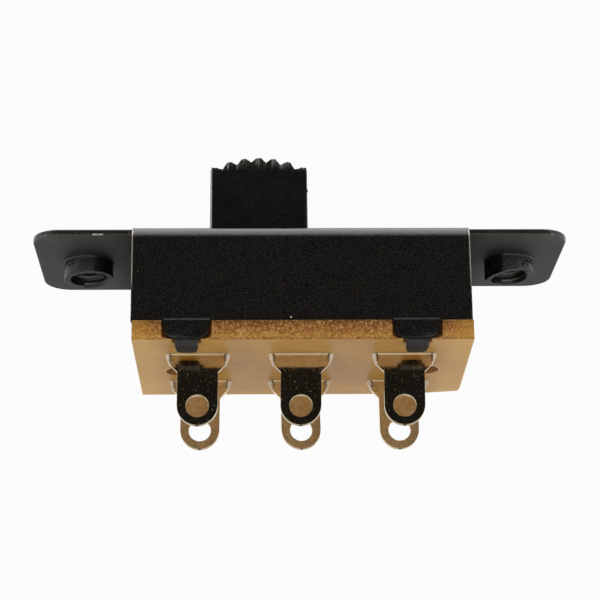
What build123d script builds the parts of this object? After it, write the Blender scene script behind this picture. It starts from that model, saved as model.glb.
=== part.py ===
from build123d import *
from math import radians, sin, sqrt
import os

# Slide switch with two positions and two rows of three solder lugs, in millimetres.
# The origin is the centre of the mounting plate's upper face. X runs along the switch, the way
# the knob travels, the front is at -Y, and the knob points along +Z.

# Folded steel bracket
sheet_thickness = 0.4
body_length = 22.0
body_width = 12.7
wall_height = 6.66
bend_outer_radius = 1.0
overall_length = 35.4
ear_corner_radius = 1.8
sheet_edge_break = 0.06

# Screw bosses drawn down out of the ears
screw_spacing = 28.575
screw_bore_radius = 1.25
boss_wall = 0.4
boss_height = 1.15
boss_root_flare = 0.15
left_mouth_tilt = -3.0
right_mouth_tilt = -11.0

# Crimped tabs at the walls' lower edges
tab_offset = 7.4
tab_width = 2.95
tab_drop = 1.1
tab_corner_radius = 0.35
tab_neck_radius = 0.1
tab_crease_depth = 0.04
tab_crease_height = 0.14
finger_width = 1.6
finger_reach = 1.45
finger_bend_radius = 0.12
finger_tip_radius = 0.35

# Terminal board
board_length = 21.97
board_shift = 0.065
board_skew = 0.16
board_overhang = 0.2
board_thickness = 1.29
notch_clearance = 0.12
slot_end_clearance = 0.08
vent_radius = 1.0
left_vent_x = -8.0
left_vent_y = 0.84
right_vent_x = 8.3
right_vent_y = 0.5
chip_length = 3.6
chip_depth = 0.75
chip_corner_length = 0.12
chip_corner_depth = 0.7

# Terminals
terminal_pitch = 6.75
row_spacing = 6.35
terminal_thickness = 0.4
terminal_bend_radius = 0.1
head_width = 3.56
pad_inner_edge = 0.9
lug_length = 4.8
stem_width = 2.66
shoulder_end = 1.24
eye_radius = 0.75
eye_height = 1.28
nib_reach = 0.32
nib_tip = 0.12
nib_drop = 0.7
nib_foot = 0.08
nib_slit_width = 0.07
nib_slit_length = 0.55
ledge_height = 0.1
ledge_chamfer = 0.07

# Slider: the knob and the carrier below the plate
knob_width = 6.54
knob_draft = 0.03
knob_depth = 5.6
knob_edge_radius = 0.22
knob_height = 6.12
ridge_count = 7
ridge_margin = 0.34
ridge_depth = 0.34
ridge_crown = 0.2
ridge_crown_drop = 0.06
dome_radius = 6.3
travel = 5.5
plate_slot_end_clearance = 0.2
plate_slot_side_clearance = 0.2
plate_slot_corner_radius = 0.3
carrier_length = 16.4
carrier_side_clearance = 0.15
carrier_top_clearance = 0.05
carrier_board_clearance = 0.25
carrier_edge_chamfer = 0.75
carrier_end_radius = 0.4
runner_width = 1.1
runner_height = 0.2

# Bridging contacts and their springs
contact_thickness = 0.25
contact_width = 2.0
contact_length = 9.2
contact_end_turn = 0.4
contact_gap = 0.03
press_end_margin = 0.075
press_reach = 0.75
press_depth = 0.35
pocket_clearance = 0.15
pocket_headroom = 0.5
spring_wire_radius = 0.13
spring_outer_radius = 0.95
spring_turns = 4
spring_seat_clearance = 0.02
well_clearance = 0.15
well_depth = 3.4

# Places that follow from the sizes above
ear_width = body_width - 2 * bend_outer_radius
bend_inner_radius = bend_outer_radius - sheet_thickness
boss_outer_radius = screw_bore_radius + boss_wall
board_width = body_width + 2 * board_overhang
board_top = -wall_height
board_bottom = board_top - board_thickness
notch_depth = board_overhang + sheet_thickness + finger_bend_radius
slot_width = terminal_thickness + 2 * terminal_bend_radius
slot_length = head_width + 2 * slot_end_clearance
row_y = row_spacing / 2
pad_top = board_top + terminal_thickness
lug_tip = board_bottom - lug_length
eye_z = lug_tip + eye_height
knob_x = -travel / 2
ridge_pitch = (knob_width - 2 * ridge_margin) / (ridge_count - 1)
plate_slot_length = knob_width + 2 * knob_draft + travel + 2 * plate_slot_end_clearance
plate_slot_width = knob_depth + 2 * plate_slot_side_clearance
carrier_top = -sheet_thickness - carrier_top_clearance
carrier_bottom = pad_top + carrier_board_clearance
carrier_width = body_width - 2 * sheet_thickness - 2 * carrier_side_clearance
contact_y = pad_inner_edge + (row_y - pad_inner_edge) / 2
contact_bottom = pad_top + contact_gap + press_depth
contact_top = contact_bottom + contact_thickness
pocket_roof = contact_top + contact_end_turn + pocket_headroom - contact_thickness
well_radius = spring_outer_radius + well_clearance
well_roof = contact_top + well_depth
hidden_overlap = 0.2
diagonal = sin(radians(45))


def channel():
    """The plate and its two walls: one folded section, run along the body."""
    outer = Pos(0, -wall_height / 2) * Rectangle(body_width, wall_height)
    outer = fillet(outer.vertices().group_by(Axis.Y)[-1], bend_outer_radius)
    inner_width = body_width - 2 * sheet_thickness
    inner = Pos(0, -wall_height / 2 - sheet_thickness) * Rectangle(inner_width, wall_height)
    inner = fillet(inner.vertices().group_by(Axis.Y)[-1], bend_inner_radius)
    return extrude(Plane.YZ * (outer - inner), body_length / 2, both=True)


def ears():
    """The plate's flat between the bends, run out past the walls into the two round-cornered ears."""
    strip = extrude(RectangleRounded(overall_length, ear_width, ear_corner_radius), -sheet_thickness)
    rims = strip.edges().group_by(Axis.Z)
    return chamfer(rims[0] + rims[-1], sheet_edge_break)


def boss(centre_x, mouth_tilt):
    """A barrel drawn down out of the ear, with a flared root and a mouth that broke off askew."""
    root = boss_outer_radius + boss_root_flare
    hidden_top = -sheet_thickness / 2
    barrel_end = -sheet_thickness - 2 * boss_height
    outline = Polyline(
        (boss_outer_radius, -sheet_thickness - boss_root_flare),
        (boss_outer_radius, barrel_end),
        (0, barrel_end),
        (0, hidden_top),
        (root, hidden_top),
        (root, -sheet_thickness),
        close=True,
    )
    barrel = revolve(Plane.XZ * make_face(outline), Axis.Z, 360)
    reach = 4 * boss_outer_radius
    below = Box(reach, reach, reach, align=(Align.CENTER, Align.CENTER, Align.MAX))
    mouth = Pos(0, 0, -sheet_thickness - boss_height) * Rot(0, mouth_tilt, 0) * below
    return Pos(centre_x, 0, 0) * (barrel - mouth)


def screw_bore(centre_x):
    depth = 3 * (sheet_thickness + boss_height)
    return Pos(centre_x, 0, 0) * Cylinder(screw_bore_radius, 2 * depth)


def tab_outline(clearance, lowest):
    """The tab seen from the front: round-cornered shoulders, then the neck of the finger."""
    top = -wall_height + hidden_overlap
    shoulder_end_z = -wall_height - tab_drop - clearance
    root = Rectangle(tab_width + 2 * clearance, top - shoulder_end_z)
    shoulders = Pos(0, (top + shoulder_end_z) / 2) * root
    shoulders = fillet(shoulders.vertices().group_by(Axis.Y)[0], tab_corner_radius)
    neck = Pos(0, (top + lowest) / 2) * Rectangle(finger_width + 2 * clearance, top - lowest)
    outline = shoulders + neck
    waist = outline.vertices().filter_by(lambda corner: abs(corner.Y - shoulder_end_z) < tab_neck_radius)
    waist = waist.filter_by(lambda corner: abs(corner.X) < finger_width / 2 + clearance + tab_neck_radius)
    return fillet(waist, tab_neck_radius)


def tab(centre_x):
    """One tab of the front wall: a strip folded under the board and trimmed to the tab's outline."""
    outer_y = -body_width / 2
    inner_y = outer_y + sheet_thickness
    bend_y = inner_y + finger_bend_radius
    bend_z = board_bottom + finger_bend_radius
    tip_y = outer_y + finger_reach
    bend_outer = finger_bend_radius + sheet_thickness
    root_top = -wall_height + hidden_overlap
    outside = ThreePointArc(
        (outer_y, bend_z),
        (bend_y - bend_outer * diagonal, bend_z - bend_outer * diagonal),
        (bend_y, bend_z - bend_outer),
    )
    inside = ThreePointArc(
        (bend_y, board_bottom),
        (bend_y - finger_bend_radius * diagonal, bend_z - finger_bend_radius * diagonal),
        (inner_y, bend_z),
    )
    under = Polyline(
        (bend_y, bend_z - bend_outer),
        (tip_y, bend_z - bend_outer),
        (tip_y, board_bottom),
        (bend_y, board_bottom),
    )
    root = Polyline((inner_y, bend_z), (inner_y, root_top), (outer_y, root_top), (outer_y, bend_z))
    strip = extrude(Plane.YZ * make_face(outside + under + inside + root), tab_width / 2, both=True)
    outline = tab_outline(0, board_bottom - 2 * sheet_thickness)
    folded = strip & extrude(Plane.XZ * outline, body_width)
    tip_edges = folded.edges().filter_by(Axis.Z).group_by(Axis.Y)[-1]
    return Pos(centre_x, 0, 0) * fillet(tip_edges, finger_tip_radius)


def tab_crease(centre_x):
    """The groove that the crimping tool leaves across the wall above each tab."""
    crease_z = -wall_height + tab_crease_height
    groove = make_face(Polyline(
        (-body_width / 2, crease_z + tab_crease_depth),
        (-body_width / 2 + tab_crease_depth, crease_z),
        (-body_width / 2, crease_z - tab_crease_depth),
        close=True,
    ))
    return Pos(centre_x, 0, 0) * extrude(Plane.YZ * groove, tab_width / 2, both=True)


def bracket():
    """The folded sheet: plate, ears, bosses, walls and tabs in one piece."""
    body = channel() + ears()
    for side, mouth_tilt in ((-1, left_mouth_tilt), (1, right_mouth_tilt)):
        screw_x = side * screw_spacing / 2
        body = body + boss(screw_x, mouth_tilt) - screw_bore(screw_x)
    slot = RectangleRounded(plate_slot_length, plate_slot_width, plate_slot_corner_radius)
    body = body - extrude(slot, bend_outer_radius, both=True)
    for centre_x in (-tab_offset, tab_offset):
        front = tab(centre_x)
        crease = tab_crease(centre_x)
        body = body + front + mirror(front, Plane.XZ) - crease - mirror(crease, Plane.XZ)
    return body


def terminal_columns():
    return {"left": -terminal_pitch, "centre": 0.0, "right": terminal_pitch}


def board_outline():
    """The board from above: sheared square on the left, askew on the right, its rear corner broken off."""
    front_left = board_shift - board_length / 2
    front_right = board_shift + board_length / 2
    rear_right = front_right + board_skew
    half = board_width / 2
    return make_face(Polyline(
        (front_left, -half),
        (front_right, -half),
        (rear_right, half - chip_depth - chip_corner_depth),
        (rear_right - chip_corner_length, half - chip_depth),
        (rear_right - chip_length, half),
        (front_left, half),
        close=True,
    ))


def terminal_board():
    """The punched board: four notches for the tabs, six slots and two vents."""
    board_centre = board_top - board_thickness / 2
    board = extrude(Pos(0, 0, board_bottom) * board_outline(), board_thickness)
    through = 2 * board_thickness
    outline = tab_outline(notch_clearance, board_bottom - board_thickness)
    notch = extrude(Plane.XZ.offset(board_width / 2) * outline, -notch_depth)
    for centre_x in (-tab_offset, tab_offset):
        front_notch = Pos(centre_x, 0, 0) * notch
        board = board - front_notch - mirror(front_notch, Plane.XZ)
    for vent_x, vent_y in ((left_vent_x, left_vent_y), (right_vent_x, right_vent_y)):
        board = board - Pos(vent_x, vent_y, board_centre) * Cylinder(vent_radius, through)
    for centre_x in terminal_columns().values():
        for centre_y in (-row_y, row_y):
            board = board - Pos(centre_x, centre_y, board_centre) * Box(slot_length, slot_width, through)
    return board


def terminal_head():
    """The pad on the board and the blade in its slot, bent from one strip; the pad points to +Y."""
    half = terminal_thickness / 2
    bend_y = half + terminal_bend_radius
    bend_z = board_top - terminal_bend_radius
    bend_outer = terminal_bend_radius + terminal_thickness
    pad_end = row_y - pad_inner_edge
    outside = ThreePointArc(
        (-half, bend_z),
        (bend_y - bend_outer * diagonal, bend_z + bend_outer * diagonal),
        (bend_y, pad_top),
    )
    pad = Polyline((bend_y, pad_top), (pad_end, pad_top), (pad_end, board_top), (bend_y, board_top))
    inside = ThreePointArc(
        (bend_y, board_top),
        (bend_y - terminal_bend_radius * diagonal, bend_z + terminal_bend_radius * diagonal),
        (half, bend_z),
    )
    blade = Polyline((half, bend_z), (half, board_bottom), (-half, board_bottom), (-half, bend_z))
    section = make_face(outside + pad + inside + blade)
    return extrude(Plane.YZ * section, head_width / 2, both=True)


def lug_outline():
    """The lug below the board: a nib split off each side, sloping shoulders, a stem, a round end."""
    half_head = head_width / 2
    half_stem = stem_width / 2
    nib_start = half_head + nib_slit_width
    nib_end = half_head + nib_reach
    right = [
        (half_head, board_bottom + hidden_overlap),
        (half_head, board_bottom - nib_slit_length),
        (nib_start, board_bottom - nib_slit_length),
        (nib_start, board_bottom),
        (nib_end, board_bottom),
        (nib_end, board_bottom - nib_tip),
        (half_head + nib_foot, board_bottom - nib_drop),
        (half_stem, board_bottom - shoulder_end),
        (half_stem, lug_tip + half_stem),
    ]
    left = [(-x, z) for x, z in reversed(right)]
    round_end = ThreePointArc(right[-1], (0, lug_tip), left[0])
    sides = Polyline(*left, *right)
    return make_face(round_end + sides)


def lug_ledge():
    """The swaged rim that closes the slot round the blade and holds it up against the board."""
    ledge = Box(head_width, slot_width, ledge_height, align=(Align.CENTER, Align.CENTER, Align.MAX))
    low_edges = ledge.edges().filter_by(Axis.X).group_by(Axis.Z)[0]
    return Pos(0, 0, board_bottom) * chamfer(low_edges, ledge_chamfer)


def terminal(column_x, row):
    """One stamped terminal: pad, blade, swaged ledge, nibs and soldering lug with its eye."""
    eye = Pos(0, 0, eye_z) * Rot(90, 0, 0) * Cylinder(eye_radius, 2 * terminal_thickness)
    blade = extrude(Plane.XZ * lug_outline(), terminal_thickness / 2, both=True) - eye
    front = Pos(column_x, -row_y, 0) * (terminal_head() + blade + lug_ledge())
    return front if row == "front" else mirror(front, Plane.XZ)


def ridged_top(base_z):
    """The knob's outline in XZ: straight sides and a domed top of rounded ridges and sharp valleys."""
    half = knob_width / 2

    def dome(x):
        return knob_height - dome_radius + sqrt(dome_radius ** 2 - x ** 2)

    corners = [(-half, dome(half)), (half, dome(half))]
    centres = [(number - (ridge_count - 1) / 2) * ridge_pitch for number in range(ridge_count)]
    valleys = [centre + ridge_pitch / 2 for centre in centres[:-1]]
    feet = [corners[0]] + [(x, dome(x) - ridge_depth) for x in valleys] + [corners[1]]
    base = half + knob_draft
    edges = [Polyline(corners[1], (base, base_z), (-base, base_z), corners[0])]
    for number, centre in enumerate(centres):
        crown_z = dome(centre) - ridge_crown_drop
        crown_start = (centre - ridge_crown, crown_z)
        crown_end = (centre + ridge_crown, crown_z)
        edges.append(Line(feet[number], crown_start))
        edges.append(ThreePointArc(crown_start, (centre, dome(centre)), crown_end))
        edges.append(Line(crown_end, feet[number + 1]))
    return make_face(Curve() + edges)


def knob():
    """The ridged knob, with its ridges across the travel and its upright edges rounded."""
    block = extrude(Plane.XZ * ridged_top(carrier_top - hidden_overlap), knob_depth / 2, both=True)
    sides = block.faces().filter_by(lambda face: abs(face.normal_at().X) > 0.99)
    upright = sides.edges().filter_by(lambda edge: abs(edge.tangent_at(0).Z) > 0.99)
    return fillet(upright, knob_edge_radius)


def carrier():
    """The block under the plate: two runners on top, a pocket and a spring well for each contact."""
    height = carrier_top - carrier_bottom
    block = Pos(0, 0, carrier_bottom + height / 2) * Box(carrier_length, carrier_width, height)
    top_edges = block.edges().filter_by(Axis.X).group_by(Axis.Z)[-1]
    block = chamfer(top_edges, carrier_edge_chamfer)
    block = fillet(block.edges().filter_by(Axis.Z), carrier_end_radius)
    relief_width = carrier_width - 2 * carrier_edge_chamfer - 2 * runner_width
    relief_length = (carrier_length - knob_width) / 2
    for side in (-1, 1):
        relief_x = side * (knob_width / 2 + relief_length / 2)
        relief = Box(relief_length, relief_width, 2 * runner_height)
        block = block - Pos(relief_x, 0, carrier_top) * relief
    for side in (-1, 1):
        pocket_length = contact_length + 2 * pocket_clearance
        pocket_width = contact_width + 2 * pocket_clearance
        pocket_height = pocket_roof - carrier_bottom
        pocket = Box(pocket_length, pocket_width, 2 * pocket_height)
        block = block - Pos(0, side * contact_y, carrier_bottom) * pocket
        upward = (Align.CENTER, Align.CENTER, Align.MIN)
        well = Cylinder(well_radius, well_roof - carrier_bottom, align=upward)
        block = block - Pos(0, side * contact_y, carrier_bottom) * well
    return block


def slider():
    """Knob and carrier, one moulding, at the left end of its travel."""
    return Pos(knob_x, 0, 0) * (carrier() + knob())


def bridge_contact(side):
    """A springy strip with two ridges pressed across it and turned-up ends; it joins two pads."""
    half = contact_length / 2
    flat = half - contact_end_turn
    rise = contact_end_turn
    section = make_face(Polyline(
        (-half, contact_bottom + rise),
        (-flat, contact_bottom),
        (flat, contact_bottom),
        (half, contact_bottom + rise),
        (half, contact_top + rise),
        (flat, contact_top),
        (-flat, contact_top),
        (-half, contact_top + rise),
        close=True,
    ))
    arc_radius = (press_reach ** 2 + press_depth ** 2) / (2 * press_depth)
    arc_z = contact_bottom - press_depth + arc_radius
    below_top = Pos(0, contact_top - arc_radius) * Rectangle(contact_length, 2 * arc_radius)
    press_x = flat - press_end_margin - press_reach
    for ridge_x in (-press_x, press_x):
        bulge = Pos(ridge_x, arc_z) * Circle(arc_radius) & below_top
        hollow = Pos(ridge_x, arc_z) * Circle(arc_radius - contact_thickness)
        section = section + bulge - hollow
    strip = extrude(Plane.XZ * section, contact_width / 2, both=True)
    return Pos(knob_x, side * contact_y, 0) * strip


def contact_spring(side):
    """A coil spring between the well's roof and the strip."""
    low = contact_top + spring_wire_radius + spring_seat_clearance
    high = well_roof - spring_wire_radius - spring_seat_clearance
    coil_radius = spring_outer_radius - spring_wire_radius
    path = Helix(pitch=(high - low) / spring_turns, height=high - low, radius=coil_radius)
    start = Plane(origin=path @ 0, z_dir=path % 0)
    coil = sweep(start * RegularPolygon(spring_wire_radius, 6), path=path)
    return Pos(knob_x, side * contact_y, low) * coil


def build_all():
    """Every piece by its name."""
    pieces = {
        "bracket": bracket(),
        "slider": slider(),
        "terminal_board": terminal_board(),
    }
    for row in ("front", "rear"):
        for column, column_x in terminal_columns().items():
            pieces[f"terminal_{row}_{column}"] = terminal(column_x, row)
    for row, side in (("front", -1), ("rear", 1)):
        pieces[f"bridge_contact_{row}"] = bridge_contact(side)
        pieces[f"contact_spring_{row}"] = contact_spring(side)
    return pieces


os.makedirs("parts", exist_ok=True)
for name, piece in build_all().items():
    export_step(piece, f"parts/{name}.step")
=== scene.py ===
import bmesh
import bpy
from math import cos, pi, radians, sin
from mathutils import Matrix, Quaternion, Vector, noise


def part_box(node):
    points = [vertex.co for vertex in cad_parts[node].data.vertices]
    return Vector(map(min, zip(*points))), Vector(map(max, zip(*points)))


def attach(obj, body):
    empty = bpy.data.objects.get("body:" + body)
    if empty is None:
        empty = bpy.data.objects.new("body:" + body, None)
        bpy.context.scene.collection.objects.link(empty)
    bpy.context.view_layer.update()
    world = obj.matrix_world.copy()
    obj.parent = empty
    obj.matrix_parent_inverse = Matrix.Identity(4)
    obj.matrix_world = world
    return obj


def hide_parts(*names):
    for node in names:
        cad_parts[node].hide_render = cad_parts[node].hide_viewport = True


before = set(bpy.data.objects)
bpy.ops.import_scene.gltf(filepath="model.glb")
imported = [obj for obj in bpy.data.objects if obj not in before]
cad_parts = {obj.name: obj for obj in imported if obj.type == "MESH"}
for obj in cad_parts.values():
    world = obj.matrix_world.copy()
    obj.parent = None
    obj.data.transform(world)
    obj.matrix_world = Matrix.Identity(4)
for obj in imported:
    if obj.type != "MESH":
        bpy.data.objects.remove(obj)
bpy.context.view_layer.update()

# Slide switch: its looks, in metres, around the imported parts. Shapes are worked in millimetres and
# brought to metres at the end, and the patterns of the materials are given in millimetres too.
# A colour is linear red, green and blue, with an alpha of 1.
MM = 0.001
ROUNDED = "rounded_edge"
ALONG_X = Vector((1, 0, 0))
ALONG_Y = Vector((0, 1, 0))
ALONG_Z = Vector((0, 0, 1))

# Camera, fitted to the photograph
camera_azimuth = radians(-1.32)
camera_elevation = radians(-18.31)
camera_roll = radians(-0.54)
camera_distance = 132.67 * MM
camera_target = Vector((0.03, 0, -3.15)) * MM
camera_lens = 117.44

# Light: a white tent with a bright panel overhead and a dark opening in front, and a lit table
tent_level = 0.62
table_light_level = 1.12
horizon_blur = 0.02
panel_level = 3.3
panel_elevation = radians(84)
panel_inner = radians(18)
panel_outer = radians(42)
opening_level = 0.012
opening_elevation = radians(18)
opening_inner = radians(19)
opening_outer = radians(33)
opening_breadth = 1.9
backdrop_level = 0.97
table_colour = (0.8, 0.8, 0.79, 1)
table_glow_share = 0.5
floor_radius = 3.0
floor_sides = 96

# Places on the switch, in millimetres
sheet_thickness = 0.4
wall_end_x = 11.0
ear_hole_x = 14.2875
bore_radius = 1.25
ear_front_y = -5.35
vent_places = ((-8.0, 0.84), (8.3, 0.5))
vent_radius = 1.0
tab_x = 7.4
tab_half_width = 1.475
tab_drop = 1.1
finger_run = 1.05
lug_pitch = 6.75
lug_half_width = 1.78
knob_x = -2.75
knob_half_width = 3.27
knob_left = knob_x - knob_half_width
knob_right = knob_x + knob_half_width
knob_y = 2.8
knob_root_z = -0.5
knob_shoulder = 5.2
knob_draft = 0.03
knob_draft_run = 5.85
knob_fillet = 0.22
knob_burr_z = 3.7

# Widths of the rounded edges, in millimetres, and what counts as an edge
paint_rounding = 0.035
plastic_rounding = 0.03
board_rounding = 0.018
lug_rounding = 0.014
rounded_angle = radians(28)
shaded_sharp_angle = radians(35)

# What handling has bent: the left ear's twist, and each lug's lean to the right at its tip
ear_twist = radians(1.2)
ear_twist_start = -wall_end_x - 0.05
ear_twist_run = 0.45
lug_leans = {
    "front_left": -0.033, "front_centre": -0.067, "front_right": -0.067,
    "rear_left": -0.047, "rear_centre": 0.127, "rear_right": 0.047,
}

# The board's ends as the shear left them: how far the right one falls back at its foot, at two
# heights and at its top, and the left one at its top
right_end_heights = (-7.48, -7.16)
right_end_depths = (0.0, 0.085, 0.0, 0.105)
left_end_depth = 0.07


def mm_box(node):
    low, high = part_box(node)
    return low / MM, high / MM


wall_y = mm_box("bracket")[1].y
board_low, board_high = mm_box("terminal_board")
knob_top = mm_box("slider")[1].z
lug_tip = mm_box("terminal_front_left")[0].z


# Shader arithmetic

class Value:
    """An output of a shader node; each sum or product of values adds one Math node."""

    def __init__(self, nodes, socket):
        self.nodes = nodes
        self.socket = socket

    def math(self, operation, *terms):
        return self.nodes.add("ShaderNodeMath", {"operation": operation}, dict(enumerate(terms)))

    def __add__(self, other):
        return self.math("ADD", self, other)

    def __sub__(self, other):
        return self.math("SUBTRACT", self, other)

    def __rsub__(self, other):
        return self.math("SUBTRACT", other, self)

    def __neg__(self):
        return self.math("SUBTRACT", 0.0, self)

    def __mul__(self, other):
        return self.math("MULTIPLY", self, other)

    def __truediv__(self, other):
        return self.math("DIVIDE", self, other)

    __radd__ = __add__
    __rmul__ = __mul__

    def least(self, other):
        return self.math("MINIMUM", self, other)

    def most(self, other):
        return self.math("MAXIMUM", self, other)

    def size(self):
        return self.math("ABSOLUTE", self)

    def step(self, start, end):
        """0 at start, 1 at end, and smooth between them."""
        settings = {"interpolation_type": "SMOOTHSTEP"}
        inputs = {"Value": self, "From Min": start, "From Max": end}
        if start > end:
            inputs.update({"From Min": end, "From Max": start, "To Min": 1.0, "To Max": 0.0})
        return self.nodes.add("ShaderNodeMapRange", settings, inputs)

    def between(self, low, high, blur):
        """1 from low to high, and 0 further out than the blur."""
        return self.step(low - blur, low) * self.step(high + blur, high)


class Nodes:
    """The nodes of one material or of the world."""

    def __init__(self, owner):
        owner.use_nodes = True
        self.tree = owner.node_tree
        self.tree.nodes.clear()

    def add(self, kind, settings=None, inputs=None, output=0):
        """A new node with its settings, then its sockets' values or links; gives one output."""
        node = self.tree.nodes.new(kind)
        for name, setting in (settings or {}).items():
            if name == "stops":
                self.fill_ramp(node.color_ramp, setting)
            else:
                setattr(node, name, setting)
        for name, given in (inputs or {}).items():
            if isinstance(given, Value):
                self.tree.links.new(given.socket, node.inputs[name])
            else:
                node.inputs[name].default_value = given
        return Value(self, node.outputs[output]) if len(node.outputs) else None

    def vector(self, operation, inputs, output=0):
        return self.add("ShaderNodeVectorMath", {"operation": operation}, inputs, output)

    def fill_ramp(self, ramp, stops):
        while len(ramp.elements) < len(stops):
            ramp.elements.new(0.5)
        for element, (position, colour) in zip(ramp.elements, stops):
            element.position = position
            element.color = colour


class Finish(Nodes):
    """A material whose patterns follow the part's own coordinates, in millimetres."""

    def __init__(self, name):
        self.material = bpy.data.materials.new(name)
        super().__init__(self.material)
        coordinates = self.add("ShaderNodeTexCoord", output="Object")
        self.place = self.vector("SCALE", {0: coordinates, "Scale": 1 / MM})
        self.x, self.y, self.z = self.parts(self.place)
        self.facing = self.parts(self.add("ShaderNodeNewGeometry", output="Normal"))
        self.relief = None

    def parts(self, vector):
        split = self.add("ShaderNodeSeparateXYZ", None, {0: vector})
        return [Value(self, socket) for socket in split.socket.node.outputs]

    def stretched(self, stretch, shift):
        moved = self.vector("ADD", {0: self.place, 1: shift})
        return self.vector("MULTIPLY", {0: moved, 1: stretch})

    def noise(self, stretch, detail=2.0, rough=0.5, shift=(0, 0, 0)):
        """Noise from about 0 to 1 with as many waves in each millimetre as stretch says."""
        stretch = stretch if isinstance(stretch, tuple) else (stretch,) * 3
        place = self.stretched(stretch, shift)
        inputs = {"Vector": place, "Scale": 1.0, "Detail": detail, "Roughness": rough}
        return self.add("ShaderNodeTexNoise", None, inputs)

    def specks(self, cell, radius, share, shift=(0, 0, 0)):
        """Round specks of up to the radius, in that share of the cells."""
        inputs = {"Vector": self.stretched((1 / cell,) * 3, shift), "Scale": 1.0}
        distance = self.add("ShaderNodeTexVoronoi", None, inputs, output="Distance")
        colour = self.add("ShaderNodeTexVoronoi", None, inputs, output="Color")
        chosen, strength = self.parts(colour)[:2]
        inside = distance.step(radius / cell, 0.4 * radius / cell)
        return inside * chosen.step(1 - share, 1 - 0.7 * share) * strength

    def spot(self, centre, radius):
        """1 at a place on the part, and 0 further off than the radius."""
        offset = self.vector("DISTANCE", {0: self.place, 1: centre}, "Value")
        return offset.step(radius, 0.4 * radius)

    def edge(self):
        """1 on the faces that soften() rounded."""
        return self.add("ShaderNodeAttribute", {"attribute_name": ROUNDED}, output="Fac")

    def blend(self, factor, first, second):
        settings = {"data_type": "RGBA", "clamp_factor": True}
        return self.add("ShaderNodeMix", settings, {0: factor, 6: first, 7: second}, output=2)

    def ramp(self, factor, *stops):
        return self.add("ShaderNodeValToRGB", {"stops": stops}, {0: factor})

    def bump(self, height, depth):
        """Raises the surface by up to the depth in millimetres where the height is 1."""
        inputs = {"Height": height, "Distance": depth * MM, "Strength": 1.0}
        if self.relief:
            inputs["Normal"] = self.relief
        self.relief = self.add("ShaderNodeBump", None, inputs)

    def done(self, **inputs):
        named = {name.replace("_", " "): given for name, given in inputs.items()}
        if self.relief:
            named["Normal"] = self.relief
        shader = self.add("ShaderNodeBsdfPrincipled", None, named, output="BSDF")
        self.add("ShaderNodeOutputMaterial", None, {"Surface": shader})
        return self.material


def grey(level, warmth=0.0):
    return (level * (1 + warmth), level, level * (1 - warmth), 1)


# Finishes

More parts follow.
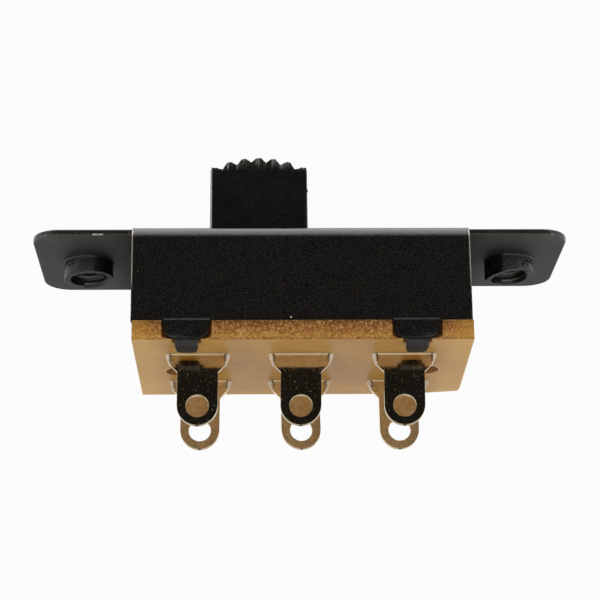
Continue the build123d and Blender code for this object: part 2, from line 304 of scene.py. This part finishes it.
def black_paint():
    """Black paint, glossy on the walls and duller below the ears, with dust, bare worn edges and
    painted highlights.
    """
    deep_black, dusty_black = grey(0.0025, 0.06), grey(0.0175, 0.17)
    drawn_grey, rim_brown = grey(0.03, 0.08), (0.04, 0.038, 0.026, 1)
    dust, fine_dust, brown_dust = grey(0.11, 0.05), grey(0.07, 0.05), (0.10, 0.075, 0.05, 1)
    white_chip, rubbed_grey = grey(0.75), grey(0.22, 0.02)
    rust, bare_steel_and_highlight = (0.12, 0.07, 0.025, 1), (0.55, 0.54, 0.50, 1)
    white_chip_place = (-0.70, -wall_y, -6.40)
    rust_place = (-11.05, ear_front_y - 0.1, -0.45)
    streak_start, streak_end = -13.6, -13.0

    paint = Finish("black_paint")
    off_centre = paint.x.size()
    behind_rim = paint.y - ear_front_y
    grain = paint.noise(12, detail=3, rough=0.6)
    patches = paint.noise(0.6, detail=3, shift=(3, 1, 7))
    on_walls = paint.facing[1].size().step(0.8, 0.97)
    below = (-paint.facing[2]).step(0.8, 0.97)
    near_wall = off_centre.step(13.0, 11.3)
    high_up = paint.z.step(-2.8, -1.0) * on_walls
    draw_marks = paint.noise((10, 10, 0.6), detail=2, shift=(2, 5, 0)).step(0.6, 0.78) * high_up
    colour = paint.blend(grain.step(0.38, 0.66), deep_black, dusty_black)
    colour = paint.blend(draw_marks * 0.4, colour, drawn_grey)
    near_rim = behind_rim.step(0.3, 0.05) * off_centre.step(wall_end_x, wall_end_x + 0.2)
    colour = paint.blend(near_rim * grain.step(0.4, 0.6) * 0.8, colour, rim_brown)
    colour = paint.blend(paint.specks(0.9, 0.04, 0.35), colour, dust)
    colour = paint.blend(paint.specks(0.45, 0.025, 0.4, shift=(9, 3, 5)), colour, fine_dust)
    colour = paint.blend(paint.specks(2.1, 0.07, 0.25, shift=(4, 4, 1)), colour, brown_dust)
    colour = paint.blend(paint.spot(white_chip_place, 0.07), colour, white_chip)

    # Bare metal along the upright edges of the wall, partly a painted highlight, fading out
    # downwards; and a painted highlight on the rim of the left ear, drawn as bare metal
    chips = paint.noise((3, 3, 2.2), detail=4, rough=0.7, shift=(1, 0, 6)).step(0.5, 0.6)
    fine_chips = paint.noise(7, detail=3, rough=0.7, shift=(6, 2, 2))
    at_wall_ends = (off_centre - wall_end_x).size().step(0.1, 0.04) * (-paint.y).step(5.9, 6.2)
    fades_downward = paint.z.step(-4.8, -3.0) * paint.z.step(-0.2, -0.5)
    bare_and_highlight = at_wall_ends * (fades_downward * (0.7 + 0.3 * fine_chips) + 0.3 * chips).least(1.0)
    ear_rim = behind_rim.step(0.12, 0.02) * (-paint.z).step(0.25, 0.36)
    left_rim_highlight = ear_rim * paint.x.between(streak_start, streak_end, 0.1)
    bare_and_highlight = bare_and_highlight.most(left_rim_highlight * fine_chips.step(0.35, 0.5) * paint.edge())

    # Rubbed paint: the front corners of the ears, and a brown spot where the left ear begins
    ear_corner = off_centre.step(15.6, 16.9) * (-paint.y).step(3.4, 4.4)
    ear_corner = ear_corner * (-paint.z).step(0.45, 0.4)
    rubbed = ear_corner * fine_chips.step(0.45, 0.62) * (0.25 + 0.75 * paint.edge())
    colour = paint.blend(rubbed * 0.8, colour, rubbed_grey)
    rust_spot = paint.spot(rust_place, 0.45) * fine_chips.step(0.4, 0.55)
    colour = paint.blend(rust_spot * 0.8, colour, rust)
    colour = paint.blend(bare_and_highlight, colour, bare_steel_and_highlight)

    paint.bump(paint.noise(4.5, detail=4, rough=0.65), 0.016)
    paint.bump(grain, 0.006)
    rough = 0.19 + 0.06 * patches + 0.42 * below + 0.16 * near_wall * below + 0.06 * draw_marks
    return paint.done(Base_Color=colour, Roughness=rough, Metallic=0.7 * bare_and_highlight, IOR=1.48)


def black_plastic():
    """Moulded black plastic with a fine grain, an olive painted highlight on its crown, and painted
    highlights along its upright front edges, brighter on the left.
    """
    deep_black, grained_black = grey(0.002), grey(0.009)
    bluish, scuffed, dust = (0.013, 0.013, 0.016, 1), grey(0.03), grey(0.10)
    crown_highlight_olive = (0.042, 0.038, 0.020, 1)
    left_edge_highlight, right_edge_highlight = grey(0.5), grey(0.16)

    plastic = Finish("black_plastic")
    grain = plastic.noise(13, detail=3, rough=0.6)
    patches = plastic.noise(0.9, detail=2, shift=(1, 2, 3))
    mottle = plastic.noise(4, detail=3, rough=0.7, shift=(5, 5, 5))
    scuffs = plastic.noise((1.5, 12, 12), detail=1, shift=(4, 0, 2)).step(0.66, 0.8)
    crown = plastic.z.step(knob_top - 1.4, knob_top - 0.2)
    colour = plastic.blend(grain.step(0.35, 0.65), deep_black, grained_black)
    colour = plastic.blend(mottle.step(0.5, 0.65) * 0.7, colour, bluish)
    colour = plastic.blend(scuffs * 0.3, colour, scuffed)
    # Painted olive highlight on the ridge tops
    colour = plastic.blend(crown * grain.step(0.4, 0.65) * 0.6, colour, crown_highlight_olive)
    colour = plastic.blend(plastic.specks(0.8, 0.04, 0.3), colour, dust)
    # Painted highlights along the knob's upright front edges, brighter on the left, where more light
    # falls
    in_front = (-plastic.y).step(knob_y - 0.2, knob_y - 0.1)
    left_edge = (plastic.x - knob_left).between(-0.1, 0.1, 0.03) * in_front
    right_edge = (plastic.x - knob_right).between(-0.05, 0.1, 0.03) * in_front
    colour = plastic.blend(left_edge * mottle.step(0.2, 0.45) * 0.95, colour, left_edge_highlight)
    colour = plastic.blend(right_edge * mottle.step(0.35, 0.6) * 0.8, colour, right_edge_highlight)
    plastic.bump(mottle, 0.006)
    plastic.bump(grain, 0.005)
    return plastic.done(Base_Color=colour, Roughness=0.2 + 0.1 * patches, IOR=1.46)


def phenolic():
    """Tan paper laminate: satin faces, and a cut edge of brown layers and pale fibres, with painted
    shade at the top of the cut edge and painted highlights on rounded edges and round the vents.
    """
    tan, pale_tan, weave_brown = (0.48, 0.25, 0.05, 1), (0.58, 0.32, 0.07, 1), (0.38, 0.18, 0.03, 1)
    end_yellow, stain, fleck = (0.72, 0.42, 0.11, 1), (0.36, 0.17, 0.04, 1), (0.2, 0.08, 0.02, 1)
    pale_tuft, pale_fibre = (0.66, 0.38, 0.11, 1), (0.78, 0.50, 0.17, 1)
    dark_gap, end_orange = (0.14, 0.045, 0.01, 1), (0.74, 0.40, 0.07, 1)
    vent_brown, vent_rim_highlight = (0.52, 0.25, 0.09, 1), (0.85, 0.62, 0.35, 1)
    rounded_highlight_tan = (0.72, 0.50, 0.22, 1)

    board = Finish("phenolic")
    off_centre = board.x.size()
    depth = (board_high.z - board.z) / (board_high.z - board_low.z)
    cut = board.facing[2].size().step(0.75, 0.5)
    cloud = board.noise(0.35, detail=2, shift=(5, 2, 0))
    weave = board.noise((0.8, 7, 7), detail=3, rough=0.6)
    stains = board.noise(1.6, detail=4, rough=0.7, shift=(2, 8, 3))
    face = board.blend(cloud.step(0.3, 0.7), tan, pale_tan)
    face = board.blend(weave.step(0.4, 0.7) * 0.5, face, weave_brown)
    face = board.blend(off_centre.step(8.8, 10.2) * 0.5, face, end_yellow)
    face = board.blend(stains.step(0.58, 0.72) * 0.3, face, stain)
    face = board.blend(board.specks(1.0, 0.05, 0.3), face, fleck)

    layers = board.noise((0.9, 0.9, 7), detail=4, rough=0.7, shift=(0, 3, 1))
    fibres = board.noise((7, 7, 9), detail=4, rough=0.85)
    tufts = board.noise((1.4, 1.4, 2.5), detail=3, rough=0.7, shift=(6, 6, 2))
    # The cut edge is painted darkest at its top, a painted shadow under the wall's overhanging edge,
    # and darker again at its foot
    edge = board.ramp(
        depth + 0.35 * (layers - 0.5),
        (0.0, (0.09, 0.03, 0.01, 1)),
        (0.2, (0.25, 0.085, 0.02, 1)),
        (0.5, (0.34, 0.13, 0.03, 1)),
        (0.85, (0.52, 0.25, 0.06, 1)),
        (1.0, (0.28, 0.12, 0.03, 1)),
    )
    edge = board.blend(tufts.step(0.5, 0.68) * 0.45, edge, pale_tuft)
    edge = board.blend(fibres.step(0.53, 0.62) * 0.8, edge, pale_fibre)
    edge = board.blend(fibres.step(0.46, 0.38) * 0.8, edge, dark_gap)
    edge = board.blend(off_centre.step(9.2, 10.6) * 0.35, edge, end_orange)

    colour = board.blend(cut, face, edge)
    for vent_x, vent_y in vent_places:
        right, back = board.x - vent_x, board.y - vent_y
        off_vent = right * right + back * back
        in_vent = off_vent.step((vent_radius + 0.12) ** 2, (vent_radius + 0.04) ** 2)
        # A paler ring on the face round each vent, a painted highlight
        lip_highlight = off_vent.step((vent_radius + 0.11) ** 2, (vent_radius + 0.05) ** 2) * (1 - cut)
        colour = board.blend(in_vent * cut, colour, vent_brown)
        colour = board.blend(lip_highlight * 0.7, colour, vent_rim_highlight)
    # The rounded edges are painted paler, a painted highlight
    colour = board.blend(board.edge() * 0.2, colour, rounded_highlight_tan)
    board.bump(fibres * cut, 0.05)
    board.bump(weave * (1 - cut), 0.002)
    rough = 0.24 + 0.45 * cut + 0.12 * cloud
    return board.done(Base_Color=colour, Roughness=rough, IOR=1.5, Specular_IOR_Level=0.1)


def plated_lug():
    """Bright warm plating, duller behind, with the rear row painted brighter as a painted
    reflection, torn nibs painted near-white as a painted highlight, and painted black shade in the
    slits at the board.
    """
    front_plate, front_tarnish = (0.74, 0.62, 0.42, 1), (0.62, 0.48, 0.30, 1)
    rear_plate_painted_light, rear_tarnish_painted_light = (1.0, 0.86, 0.60, 1), (0.84, 0.64, 0.36, 1)
    pit_brown, dull_tan = (0.55, 0.42, 0.24, 1), (0.42, 0.36, 0.24, 1)
    olive, nib_highlight_white = (0.42, 0.36, 0.20, 1), (0.96, 0.93, 0.84, 1)
    slit_shade_black = grey(0.008)
    nib_inner, nib_outer = lug_half_width + 0.03, 2.3
    nib_top, nib_foot = board_low.z + 0.1, board_low.z - 0.78
    slit_inner, slit_outer = lug_half_width - 0.05, lug_half_width + 0.08
    slit_top, slit_foot = board_low.z - 0.12, board_low.z - 0.5

    plating = Finish("plated_lug")
    behind = plating.y.step(-1.0, 1.0)
    tarnish = plating.noise(1.3, detail=4, rough=0.65)
    pits = plating.noise(10, detail=3).step(0.6, 0.72)
    dull = plating.noise(5, detail=4, rough=0.8, shift=(3, 3, 3)).step(0.56, 0.7)
    grit = plating.specks(0.32, 0.05, 0.4, shift=(1, 5, 2)).most(dull * 0.35)
    smudge = plating.noise(2.6, detail=4, rough=0.75, shift=(8, 2, 4)).step(0.48, 0.64) * behind
    # The rear row is painted brighter than the front, a painted reflection of the board's underside
    front = plating.blend(tarnish.step(0.35, 0.75), front_plate, front_tarnish)
    rear = plating.blend(tarnish.step(0.35, 0.7), rear_plate_painted_light, rear_tarnish_painted_light)
    colour = plating.blend(behind, front, rear)
    colour = plating.blend(pits * 0.3, colour, pit_brown)
    colour = plating.blend(smudge * 0.6, colour, olive)
    colour = plating.blend(dull * behind * 0.4, colour, dull_tan)

    off_columns = [(plating.x - column_x).size() for column_x in (-lug_pitch, 0.0, lug_pitch)]
    torn = sum(off.between(nib_inner, nib_outer, 0.03) for off in off_columns)
    torn = torn * plating.z.between(nib_foot, nib_top, 0.03)
    slit_shade = sum(off.between(slit_inner, slit_outer, 0.02) for off in off_columns)
    slit_shade = slit_shade * plating.z.between(slit_foot, slit_top, 0.06)
    # The torn nibs are painted near-white, a painted highlight
    colour = plating.blend(torn, colour, nib_highlight_white)
    # The slits beside the lugs are painted black, painted shade
    colour = plating.blend(slit_shade, colour, slit_shade_black)

    plating.bump(plating.noise(6, detail=2), 0.0015)
    plating.bump(plating.specks(0.45, 0.04, 0.5, shift=(7, 1, 2)), 0.006)
    plating.bump(plating.noise(7, detail=3, shift=(1, 1, 1)) * torn, 0.05)
    rough = 0.06 + 0.06 * tarnish + 0.15 * pits + 0.3 * torn
    rough = rough + grit * (0.9 - 0.4 * behind) + 0.22 * behind + 0.1 * smudge
    return plating.done(Base_Color=colour, Metallic=1 - slit_shade.most(torn * 0.75), Roughness=rough)


def cut_thread():
    """The tapped thread: blackened with the rest, with a trace of brown and oil."""
    steel = Finish("cut_thread")
    tarnish = steel.noise(3, detail=4, rough=0.7)
    blackened, oily_brown = (0.008, 0.008, 0.007, 1), (0.022, 0.017, 0.012, 1)
    colour = steel.blend(tarnish.step(0.4, 0.7), blackened, oily_brown)
    steel.bump(tarnish, 0.006)
    return steel.done(Base_Color=colour, Metallic=0.3, Roughness=0.22 + 0.2 * tarnish)


def contact_metal():
    """Satin sprung bronze, rolled along its length."""
    bronze = Finish("contact_metal")
    rolled = bronze.noise((0.6, 16, 16), detail=2)
    dark_bronze, pale_bronze = (0.62, 0.44, 0.22, 1), (0.78, 0.60, 0.34, 1)
    colour = bronze.blend(rolled, dark_bronze, pale_bronze)
    return bronze.done(Base_Color=colour, Metallic=1.0, Roughness=0.22 + 0.16 * rolled)


def spring_wire():
    """Drawn steel wire."""
    wire = Finish("spring_wire")
    drawn = wire.noise(6, detail=2)
    colour = wire.blend(drawn, grey(0.45), grey(0.65))
    return wire.done(Base_Color=colour, Metallic=1.0, Roughness=0.2 + 0.15 * drawn)


# Stage

def light_room():
    """The tent, its panel and opening, with the pale backdrop wherever it is seen or mirrored."""
    world = bpy.data.worlds.new("white_tent")
    bpy.context.scene.world = world
    nodes = Nodes(world)
    direction = nodes.add("ShaderNodeTexCoord", output="Generated")

    def patch(elevation, inner, outer, breadth=1.0):
        """1 around a direction in front, at a height, and wider than high by the breadth."""
        centre = Vector((0, -cos(elevation), sin(elevation)))
        squeezed = nodes.vector("MULTIPLY", {0: direction, 1: (1 / breadth, 1, 1)})
        aimed = nodes.vector("NORMALIZE", {0: squeezed})
        towards = nodes.vector("DOT_PRODUCT", {0: aimed, 1: centre}, "Value")
        return towards.step(cos(outer), cos(inner))

    def path(kind):
        return nodes.add("ShaderNodeLightPath", output=kind)

    height = nodes.add("ShaderNodeSeparateXYZ", None, {0: direction}, output="Z")
    below = height.step(horizon_blur, -horizon_blur)
    mirrored = path("Is Glossy Ray").most(path("Is Transmission Ray"))
    lit = tent_level + (table_light_level - tent_level) * below
    level = lit + mirrored * (backdrop_level - lit)
    level = level + patch(panel_elevation, panel_inner, panel_outer) * (panel_level - level)
    opening = patch(opening_elevation, opening_inner, opening_outer, opening_breadth)
    level = level + opening * (opening_level - level)
    level = level + path("Is Camera Ray") * (backdrop_level - level)
    glow = nodes.add("ShaderNodeBackground", None, {"Color": (1, 1, 1, 1), "Strength": level})
    nodes.add("ShaderNodeOutputWorld", None, {"Surface": glow})


def table_material():
    """A white sheet lit from both sides; the photograph's view looks up through it from below."""
    material = bpy.data.materials.new("white_table")
    sheet = Nodes(material)
    matte = sheet.add("ShaderNodeBsdfDiffuse", None, {"Color": table_colour})
    glowing = sheet.add("ShaderNodeBsdfTranslucent", None, {"Color": table_colour})
    lit = sheet.add("ShaderNodeMixShader", None, {0: table_glow_share, 1: matte, 2: glowing})
    clear = sheet.add("ShaderNodeBsdfTransparent")
    under = sheet.add("ShaderNodeNewGeometry", output="Backfacing")
    both = sheet.add("ShaderNodeMixShader", None, {0: under, 1: lit, 2: clear})
    sheet.add("ShaderNodeOutputMaterial", None, {"Surface": both})
    return material


def lay_floor():
    """The table, at the height of the lugs' tips."""
    shape = bmesh.new()
    bmesh.ops.create_circle(shape, cap_ends=True, segments=floor_sides, radius=floor_radius)
    bmesh.ops.translate(shape, vec=(0, 0, lug_tip * MM), verts=shape.verts)
    floor = new_object("floor", shape, table_material())


def set_camera():
    back = Vector((
        sin(camera_azimuth) * cos(camera_elevation),
        -cos(camera_azimuth) * cos(camera_elevation),
        sin(camera_elevation),
    ))
    camera = bpy.data.objects.new("camera", bpy.data.cameras.new("camera"))
    bpy.context.scene.collection.objects.link(camera)
    camera.data.lens = camera_lens
    camera.data.clip_start = 1 * MM
    camera.rotation_mode = "QUATERNION"
    aim = (-back).to_track_quat("-Z", "Y")
    camera.rotation_quaternion = aim @ Quaternion(ALONG_Z, camera_roll)
    camera.location = camera_target + back * camera_distance
    bpy.context.scene.camera = camera


# Shapes

def new_object(name, shape, material):
    """A piece from a finished bmesh, which is used up."""
    mesh = bpy.data.meshes.new(name)
    shape.to_mesh(mesh)
    shape.free()
    mesh.materials.append(material)
    piece = bpy.data.objects.new(name, mesh)
    bpy.context.scene.collection.objects.link(piece)
    return piece


def node_shape(node):
    """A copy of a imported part's mesh in millimetres, merged, with its flat faces whole again."""
    shape = bmesh.new()
    shape.from_mesh(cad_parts[node].data)
    bmesh.ops.scale(shape, vec=(1 / MM,) * 3, verts=shape.verts)
    bmesh.ops.remove_doubles(shape, verts=shape.verts, dist=0.0005)
    bmesh.ops.dissolve_limit(shape, angle_limit=radians(0.5), verts=shape.verts, edges=shape.edges)
    return shape


def soften(shape, width):
    """Rounds every sharp edge, and marks the new faces for wear and painted highlights."""
    marks = shape.faces.layers.float.new(ROUNDED)
    sharp = [edge for edge in shape.edges if edge.calc_face_angle(0) > rounded_angle]
    rounded = bmesh.ops.bevel(
        shape, geom=sharp, offset=width, segments=2, profile=0.5,
        affect="EDGES", material=-1, clamp_overlap=False,
    )
    for face in rounded["faces"]:
        face[marks] = 1.0


def cut_across(shape, axis, places):
    """Divides a shape's faces where it passes the places along the axis."""
    for place in places:
        geometry = shape.verts[:] + shape.edges[:] + shape.faces[:]
        bmesh.ops.bisect_plane(
            shape, geom=geometry, dist=0.0001, plane_co=axis * place, plane_no=axis,
        )


def steps(start, end, pace):
    """Places a pace apart, from half a pace past the start."""
    count = int((end - start) / pace)
    return [start + (number + 0.5) * pace for number in range(count)]


def unevenness(x, y, z):
    """Smooth noise from 0 to 1."""
    return 0.5 + 0.5 * noise.noise(Vector((x, y, z)))


def finish_piece(name, shape, material, body, slot, *nodes):
    """Takes a shape from millimetres to metres and makes it a piece of the part."""
    bmesh.ops.scale(shape, vec=(MM,) * 3, verts=shape.verts)
    for face in shape.faces:
        face.smooth = True
    piece = new_object(name, shape, material)
    piece.data.set_sharp_from_angle(angle=shaded_sharp_angle)
    weighted = piece.modifiers.new("even_shading", "WEIGHTED_NORMAL")
    weighted.keep_sharp = True
    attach(piece, body)
    if nodes:
        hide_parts(*nodes)


def dress(node, material):
    """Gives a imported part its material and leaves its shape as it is."""
    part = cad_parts[node]
    part.data.materials.clear()
    part.data.materials.append(material)


def tighten_root(shape, centre_x):
    """Draws the flare where a boss leaves its ear in to the fine radius that the paint shows."""
    flare_start = bore_radius + 0.45
    flare_end = bore_radius + 0.65
    inside_sheet = -0.3
    for vert in shape.verts:
        spoke = Vector((vert.co.x - centre_x, vert.co.y, 0))
        if flare_start < spoke.length < flare_end and vert.co.z < inside_sheet:
            drawn = spoke.normalized() * (flare_start - 0.01)
            vert.co.x = centre_x + drawn.x
            vert.co.y = drawn.y


def taper_tabs(shape):
    """Narrows each tab on its way down, with round shoulders, and its finger towards the tip."""
    tab_taper = 0.07
    shoulder_taper = 0.14
    finger_taper = 0.14
    shoulder_start = 1.1
    cut_across(shape, ALONG_Z, steps(board_high.z - tab_drop, board_high.z, 0.11))
    for vert in shape.verts:
        centre_x = tab_x if vert.co.x > 0 else -tab_x
        across = vert.co.x - centre_x
        drop = board_high.z - vert.co.z
        if abs(across) < tab_half_width + 0.05 and drop > 0.01:
            lowered = min(drop / tab_drop, 1.0)
            reach = min(max(wall_y - sheet_thickness - abs(vert.co.y), 0.0) / finger_run, 1.0)
            narrowing = tab_taper * lowered + finger_taper * reach
            if abs(across) > shoulder_start:
                narrowing += shoulder_taper * lowered ** 6
            vert.co.x = centre_x + across * (1 - narrowing)


def painted_bracket(material):
    """The bracket, with its left ear twisted a little, far side down."""
    shape = node_shape("bracket")
    tighten_root(shape, -ear_hole_x)
    tighten_root(shape, ear_hole_x)
    taper_tabs(shape)
    soften(shape, paint_rounding)
    cut_across(shape, ALONG_X, [ear_twist_start - ear_twist_run * part for part in (0, 0.5, 1)])
    for vert in shape.verts:
        share = min(max((ear_twist_start - vert.co.x) / ear_twist_run, 0.0), 1.0)
        vert.co.z -= share * sin(ear_twist) * (vert.co.y - ear_front_y)
    finish_piece("painted_bracket", shape, material, "housing", "black_paint", "bracket")


def thread(name, centre_x, top, material):
    """The tapped thread of one boss: a ridge wound down its bore."""
    pitch = 0.5
    turns = 2.3
    steps_per_turn = 28
    root = bore_radius + 0.02
    crest = bore_radius - 0.11
    half_height = 0.2
    shape = bmesh.new()
    outline = [(root, top), (crest, top - half_height), (root, top - 2 * half_height)]
    corners = [shape.verts.new((centre_x + reach, 0, z)) for reach, z in outline]
    sides = [shape.edges.new((corners[number - 1], corners[number])) for number in range(3)]
    wound = bmesh.ops.spin(
        shape, geom=corners + sides, cent=(centre_x, 0, 0), axis=ALONG_Z,
        dvec=(0, 0, -pitch / steps_per_turn), angle=2 * pi * turns,
        steps=int(turns * steps_per_turn), use_merge=False, use_duplicate=False,
    )
    last = [item for item in wound["geom_last"] if isinstance(item, bmesh.types.BMVert)]
    shape.faces.new(corners)
    shape.faces.new(last)
    bmesh.ops.recalc_face_normals(shape, faces=shape.faces)
    finish_piece(name, shape, material, "housing", "black_paint")


def burr(name, centre_x, turn, height, reach, material):
    """A torn flake of metal, left on the outside of a boss where its mouth broke."""
    thickness = 0.1
    tilt = radians(-25)
    shape = bmesh.new()
    bmesh.ops.create_icosphere(shape, subdivisions=4, radius=1.0)
    for vert in shape.verts:
        torn = 0.75 + 0.5 * noise.noise(vert.co * 1.9 + ALONG_X * centre_x)
        crumpled = 0.12 * noise.noise(vert.co * 6)
        vert.co *= torn + crumpled
    bmesh.ops.scale(shape, vec=(reach, thickness, 0.6 * reach), verts=shape.verts)
    for angle, axis in ((tilt, "Y"), (turn, "Z")):
        turned = Matrix.Rotation(angle, 3, axis)
        bmesh.ops.rotate(shape, cent=(0, 0, 0), matrix=turned, verts=shape.verts)
    outside = bore_radius + 0.4
    spot = Vector((centre_x + outside * sin(turn), -outside * cos(turn), height))
    bmesh.ops.translate(shape, vec=spot, verts=shape.verts)
    finish_piece(name, shape, material, "housing", "black_paint")


def bent_lug(place, material):
    """A terminal whose lug leans a little to one side below the board."""
    shape = node_shape(f"terminal_{place}")
    soften(shape, lug_rounding)
    for vert in shape.verts:
        below = max(board_low.z - vert.co.z, 0.0) / (board_low.z - lug_tip)
        vert.co.x += lug_leans[place] * below
    finish_piece(f"lug_{place}", shape, material, "housing", "plated_lug", f"terminal_{place}")


def sheared_in(x, z):
    """How far the sheared ends of the board fall back from square at a height."""
    if x < 0:
        return left_end_depth * (z - board_low.z) / (board_high.z - board_low.z)
    heights = (board_low.z, *right_end_heights, board_high.z)
    depths = right_end_depths
    for number in range(3):
        if z <= heights[number + 1]:
            share = (z - heights[number]) / (heights[number + 1] - heights[number])
            return depths[number] + share * (depths[number + 1] - depths[number])
    return depths[-1]


def laminate_board(material):
    """The board, with the rough cut sides and uneven ends that its punch and shear leave."""
    pace, layer_pace = 0.22, 0.129
    torn_depth, fine_depth, ragged_depth = 0.028, 0.02, 0.11
    end_start = 10.7
    shape = node_shape("terminal_board")
    soften(shape, board_rounding)
    cut_across(shape, ALONG_X, steps(board_low.x, board_high.x, pace))
    cut_across(shape, ALONG_Y, steps(board_low.y, board_high.y, pace))
    cut_across(shape, ALONG_Z, steps(board_low.z, board_high.z, layer_pace))
    shape.normal_update()
    moves = []
    for vert in shape.verts:
        x, y, z = vert.co
        flat = Vector((vert.normal.x, vert.normal.y, 0))
        if flat.length < 0.5:
            continue
        depth = torn_depth * unevenness(x * 2.1, y * 2.1, z * 7)
        depth += fine_depth * unevenness(x * 9, y * 9, z * 9)
        if abs(vert.normal.x) > 0.6 and abs(x) > end_start:
            depth += sheared_in(x, z) + ragged_depth * unevenness(0, y * 2.4, z * 4) ** 2
        moves.append((vert, flat.normalized() * -depth))
    for vert, move in moves:
        vert.co += move
        vert.co.y = min(max(vert.co.y, board_low.y), board_high.y)
    finish_piece("laminate_board", shape, material, "housing", "phenolic", "terminal_board")


def moulded_slider(material):
    """Knob and carrier: the knob's upright edges are crisp, and its ridges worn and burred."""
    fillet_left = 0.4
    wear_start = knob_shoulder - 0.5
    shape = node_shape("slider")
    for vert in shape.verts:
        drafted = knob_draft * (knob_shoulder - vert.co.z) / knob_draft_run
        side = 1 if vert.co.x > knob_x else -1
        face = 1 if vert.co.y > 0 else -1
        corner = Vector((knob_x + side * (knob_half_width + drafted), face * knob_y))
        inward = corner - vert.co.xy
        near_corner = max(abs(inward.x), abs(inward.y)) < knob_fillet + 0.01
        if vert.co.z > knob_root_z and near_corner:
            vert.co.xy = corner - inward * fillet_left
    soften(shape, plastic_rounding)
    cut_across(shape, ALONG_X, steps(knob_left, knob_right, 0.13))
    cut_across(shape, ALONG_Y, steps(-knob_y, knob_y, 0.28))
    cut_across(shape, ALONG_Z, [knob_burr_z + offset for offset in (-0.15, 0, 0.15)])
    cut_across(shape, ALONG_Z, (wear_start, knob_shoulder - 0.3, knob_shoulder - 0.1))
    shape.normal_update()
    moves = []
    for vert in shape.verts:
        x, y, z = vert.co
        at_burr = abs(z - knob_burr_z) < 0.02 and x > knob_right - 0.06 and y < 0.1 - knob_y
        if z > wear_start and vert.normal.z > 0.2:
            burred = 0.07 * noise.noise(vert.co * 8)
            worn = 0.06 * unevenness(x * 2.6, y * 2.6, z * 2.6) ** 2
            moves.append((vert, ALONG_Z * (burred - worn)))
        elif at_burr:
            moves.append((vert, ALONG_X * 0.07))
    for vert, move in moves:
        vert.co += move
        vert.co.z = min(vert.co.z, knob_top)
    finish_piece("moulded_slider", shape, material, "slider", "black_plastic", "slider")


plating = plated_lug()
bronze = contact_metal()
wire = spring_wire()
steel = cut_thread()

light_room()
lay_floor()
set_camera()

paint = black_paint()
painted_bracket(paint)
burr("burr_right", ear_hole_x, radians(38), -0.98, 0.42, paint)
burr("burr_left", -ear_hole_x, radians(-42), -1.0, 0.3, paint)
thread("thread_left", -ear_hole_x, -0.3, steel)
thread("thread_right", ear_hole_x, -0.12, steel)
moulded_slider(black_plastic())
laminate_board(phenolic())
for place in lug_leans:
    bent_lug(place, plating)
for row in ("front", "rear"):
    dress(f"bridge_contact_{row}", bronze)
    dress(f"contact_spring_{row}", wire)

bpy.context.scene.view_settings.view_transform = "Standard"
